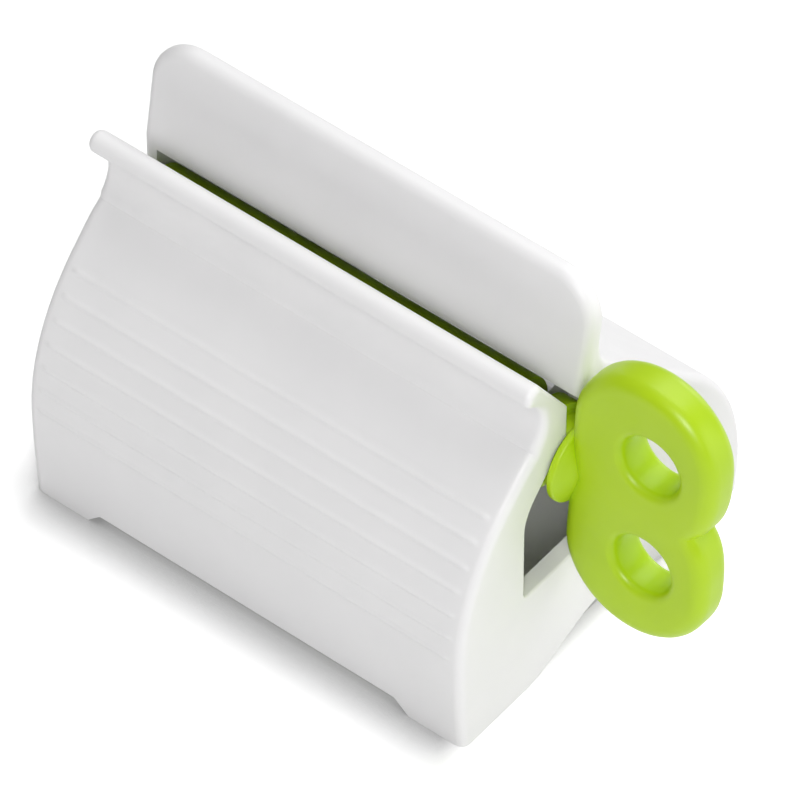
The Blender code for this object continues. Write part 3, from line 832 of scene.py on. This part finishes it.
def make_key():
    """The butterfly with its finger holes, flange, collar and hub."""
    holes = []
    for side in (-1, 1):
        centre = (KEY_FLAT_X + HOLE_X, side * HOLE_OFFSET)
        holes.append(arc(centre, HOLE_RADIUS, 0.0, math.tau, HOLE_STEPS)[:-1])
    plate = rounded_plate(
        "key_plate", key_outline(), holes, KEY_THICKNESS, KEY_EDGE_RADIUS, HOLE_RIM_RADIUS
    )
    fine = FINE_ROUNDING
    collar_end = PLATE_INNER_X - COLLAR_GAP
    collar_start = collar_end - COLLAR_THICKNESS
    hub_start = ROD_SHOULDER_X + RUNNING_GAP
    flange_end = FLANGE_START_X + FLANGE_THICKNESS
    corners = [
        (hub_start, 0.0, 0.0),
        (hub_start, ROD_RADIUS, fine),
        (collar_start, ROD_RADIUS, fine),
        (collar_start, FLANGE_RADIUS, fine),
        (collar_end, FLANGE_RADIUS, fine),
        (collar_end, ROD_RADIUS, fine),
        (FLANGE_START_X, ROD_RADIUS, fine),
        (FLANGE_START_X, FLANGE_RADIUS, fine),
        (flange_end, FLANGE_RADIUS, 2 * fine),
        (flange_end + HUB_BLEND_LENGTH, HUB_BLEND_END_RADIUS, 0.0),
        (flange_end + HUB_BLEND_LENGTH, 0.0, 0.0),
    ]
    hub = turned("join_hub", corners)
    socket_end = ROD_SHOULDER_X + TANG_LENGTH + RUNNING_GAP
    socket = square(TANG_SIDE + 2 * SOCKET_GAP)
    cutter = prism("cut_socket", socket, hub_start - OVERRUN, socket_end)
    key = joined("key_butterfly", plate, [("UNION", hub), ("DIFFERENCE", cutter)])
    shade(key, KEY_SHARP_TURN)
    on_axis(key, "key")
    return key


# Materials


def new_material(name):
    """A material with its Principled shader and a position input in metres."""
    material = bpy.data.materials.new(name)
    material.use_nodes = True
    nodes = material.node_tree.nodes
    shader = nodes["Principled BSDF"]
    where = nodes.new("ShaderNodeTexCoord")
    return material, nodes, material.node_tree.links, shader, where.outputs["Object"]


def noise(nodes, links, where, scale, detail):
    node = nodes.new("ShaderNodeTexNoise")
    node.inputs["Scale"].default_value = scale
    node.inputs["Detail"].default_value = detail
    links.new(where, node.inputs["Vector"])
    return node.outputs["Fac"]


def spread(nodes, links, value, low, high):
    """Maps noise to a range."""
    node = nodes.new("ShaderNodeMapRange")
    node.inputs["From Min"].default_value = NOISE_LOW
    node.inputs["From Max"].default_value = NOISE_HIGH
    node.inputs["To Min"].default_value = low
    node.inputs["To Max"].default_value = high
    links.new(value, node.inputs["Value"])
    return node.outputs["Result"]


def two_colours(nodes, links, value, first, second):
    """Goes from the first colour to the second with the value."""
    node = nodes.new("ShaderNodeMix")
    node.data_type = "RGBA"
    node.inputs["A"].default_value = (*first, 1.0)
    node.inputs["B"].default_value = (*second, 1.0)
    links.new(value, node.inputs["Factor"])
    return node.outputs["Result"]


def moulded_plastic(name, light, dark, roughness, grain_scale, grain_height, depth_share):
    """Moulded plastic: a slow drift of colour and gloss, and the fine grain of the mould."""
    material, nodes, links, shader, where = new_material(name)
    drift = noise(nodes, links, where, DRIFT_SCALE, DRIFT_DETAIL)
    colour = two_colours(nodes, links, spread(nodes, links, drift, 0.0, 1.0), dark, light)
    links.new(colour, shader.inputs["Base Color"])
    patches = noise(nodes, links, where, PATCH_SCALE, PATCH_DETAIL)
    low, high = roughness
    links.new(spread(nodes, links, patches, low, high), shader.inputs["Roughness"])
    grain = noise(nodes, links, where, grain_scale, GRAIN_DETAIL)
    bump = nodes.new("ShaderNodeBump")
    bump.inputs["Strength"].default_value = GRAIN_STRENGTH
    bump.inputs["Distance"].default_value = grain_height
    links.new(grain, bump.inputs["Height"])
    links.new(bump.outputs["Normal"], shader.inputs["Normal"])
    shader.inputs["Subsurface Weight"].default_value = depth_share
    shader.inputs["Subsurface Radius"].default_value = LIGHT_DEPTH_BY_COLOUR
    shader.inputs["Subsurface Scale"].default_value = LIGHT_DEPTH
    return material


def dress(item, material):
    """Gives the object this material alone."""
    item.data.materials.clear()
    item.data.materials.append(material)


# Floor, light and camera


def floor_material(name, lift, painted_shade_ends_x):
    """A pale matt floor with painted contact shade: darker close to what stands on it, but not
    from the X of the third argument on.
    """
    material = bpy.data.materials.new(name)
    material.use_nodes = True
    nodes = material.node_tree.nodes
    links = material.node_tree.links
    shader = nodes["Principled BSDF"]
    shader.inputs["Roughness"].default_value = FLOOR_ROUGHNESS
    shader.inputs["Specular IOR Level"].default_value = FLOOR_SPECULAR
    shader.inputs["Emission Color"].default_value = PURE_WHITE
    # Painted contact shade: ambient occlusion near the seat darkens the floor's colour, faded out
    # in X from the third argument on
    near = nodes.new("ShaderNodeAmbientOcclusion")
    near.samples = FLOOR_SAMPLES
    near.inputs["Distance"].default_value = FLOOR_PAINTED_SHADE_REACH
    where = nodes.new("ShaderNodeTexCoord")
    split = nodes.new("ShaderNodeSeparateXYZ")
    links.new(where.outputs["Object"], split.inputs["Vector"])
    clear = nodes.new("ShaderNodeMapRange")
    clear.inputs["From Min"].default_value = painted_shade_ends_x
    clear.inputs["From Max"].default_value = painted_shade_ends_x + FLOOR_PAINTED_SHADE_REACH
    links.new(split.outputs["X"], clear.inputs["Value"])
    painted_shade_mask = nodes.new("ShaderNodeMath")
    painted_shade_mask.operation = "MAXIMUM"
    links.new(near.outputs["AO"], painted_shade_mask.inputs[0])
    links.new(clear.outputs["Result"], painted_shade_mask.inputs[1])
    painted_shade_colour = nodes.new("ShaderNodeMapRange")
    painted_shade_colour.inputs["From Min"].default_value = FLOOR_PAINTED_SHADE_DARKEST_AT
    painted_shade_colour.inputs["To Min"].default_value = FLOOR_PAINTED_SHADE_TONE
    painted_shade_colour.inputs["To Max"].default_value = FLOOR_TONE
    links.new(painted_shade_mask.outputs["Value"], painted_shade_colour.inputs["Value"])
    links.new(painted_shade_colour.outputs["Result"], shader.inputs["Base Color"])
    # The camera-only lift also dims near the seat, which is painted contact shade too
    fade = nodes.new("ShaderNodeMapRange")
    fade.inputs["From Min"].default_value = FLOOR_LIFT_STARTS_AT
    fade.inputs["To Max"].default_value = lift
    links.new(painted_shade_mask.outputs["Value"], fade.inputs["Value"])
    path = nodes.new("ShaderNodeLightPath")
    seen = nodes.new("ShaderNodeMath")
    seen.operation = "MULTIPLY"
    links.new(path.outputs["Is Camera Ray"], seen.inputs[0])
    links.new(fade.outputs["Result"], seen.inputs[1])
    links.new(seen.outputs["Value"], shader.inputs["Emission Strength"])
    return material


def make_floor():
    """A wide pale floor that reads white in the picture, with painted contact shade near the seat
    and a plain patch inside the seat.
    """
    low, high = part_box("seat")
    across = [-FLOOR_REACH, low.x + WALL, high.x - WALL, FLOOR_REACH]
    along = [-FLOOR_REACH, low.y + WALL, high.y - WALL, FLOOR_REACH]
    work = bmesh.new()
    grid = [[work.verts.new((x, y, 0)) for x in across] for y in along]
    for near, far in zip(grid, grid[1:]):
        for column in range(len(across) - 1):
            work.faces.new([near[column], near[column + 1], far[column + 1], far[column]])
    mesh = bpy.data.meshes.new("floor")
    work.to_mesh(mesh)
    work.free()
    floor = place("floor", mesh)
    # Both floor materials paint contact shade near the seat; outside the seat it fades out at the
    # key-side end
    dress(floor, floor_material("pale_floor", FLOOR_LIFT, high.x - FLOOR_PAINTED_SHADE_REACH))
    mesh.materials.append(floor_material("floor_inside", 0.0, high.x))
    middle_patch = mesh.polygons[len(mesh.polygons) // 2]
    middle_patch.material_index = 1


def make_world():
    """An even white surrounding light."""
    world = bpy.data.worlds.new("soft_studio")
    bpy.context.scene.world = world
    world.use_nodes = True
    background = world.node_tree.nodes["Background"]
    background.inputs["Color"].default_value = PURE_WHITE
    background.inputs["Strength"].default_value = WORLD_STRENGTH


def make_lamp(name, azimuth, elevation, distance, size, power):
    """A square soft lamp aimed at the seat's middle; azimuth and elevation as for the camera."""
    turn = math.radians(azimuth)
    rise = math.radians(elevation)
    flat = math.cos(rise)
    away = Vector((math.sin(turn) * flat, -math.cos(turn) * flat, math.sin(rise)))
    lamp = bpy.data.lights.new(name, "AREA")
    lamp.shape = "SQUARE"
    lamp.size = size
    lamp.energy = power
    item = place(name, lamp)
    item.location = Vector((0, 0, LAMP_TARGET_Z)) + away * distance
    item.rotation_euler = away.to_track_quat("Z", "Y").to_euler()


def make_camera():
    """The camera at the photograph's place, looking the photograph's way."""
    camera = bpy.data.cameras.new("camera")
    camera.lens = CAMERA_LENS
    camera.sensor_width = CAMERA_SENSOR
    camera.clip_start = CAMERA_CLIP_START
    camera.clip_end = CAMERA_CLIP_END
    item = place("camera", camera)
    item.location = CAMERA_PLACE
    item.rotation_euler = (math.pi / 2 - CAMERA_ELEVATION, 0.0, CAMERA_AZIMUTH)
    bpy.context.scene.camera = item


seat = make_seat()
rod = make_rod()
key = make_key()

white = moulded_plastic(
    "white_moulded_plastic",
    WHITE_LIGHT,
    WHITE_DARK,
    WHITE_ROUGHNESS,
    WHITE_GRAIN_SCALE,
    WHITE_GRAIN_HEIGHT,
    WHITE_DEPTH_SHARE,
)
green = moulded_plastic(
    "green_moulded_plastic",
    GREEN_LIGHT,
    GREEN_DARK,
    GREEN_ROUGHNESS,
    GREEN_GRAIN_SCALE,
    GREEN_GRAIN_HEIGHT,
    GREEN_DEPTH_SHARE,
)
dress(seat, white)
dress(rod, green)
dress(key, green)

make_floor()
make_world()
for name, values in LAMPS.items():
    make_lamp(name, *values)
make_camera()
bpy.context.scene.view_settings.view_transform = "Standard"
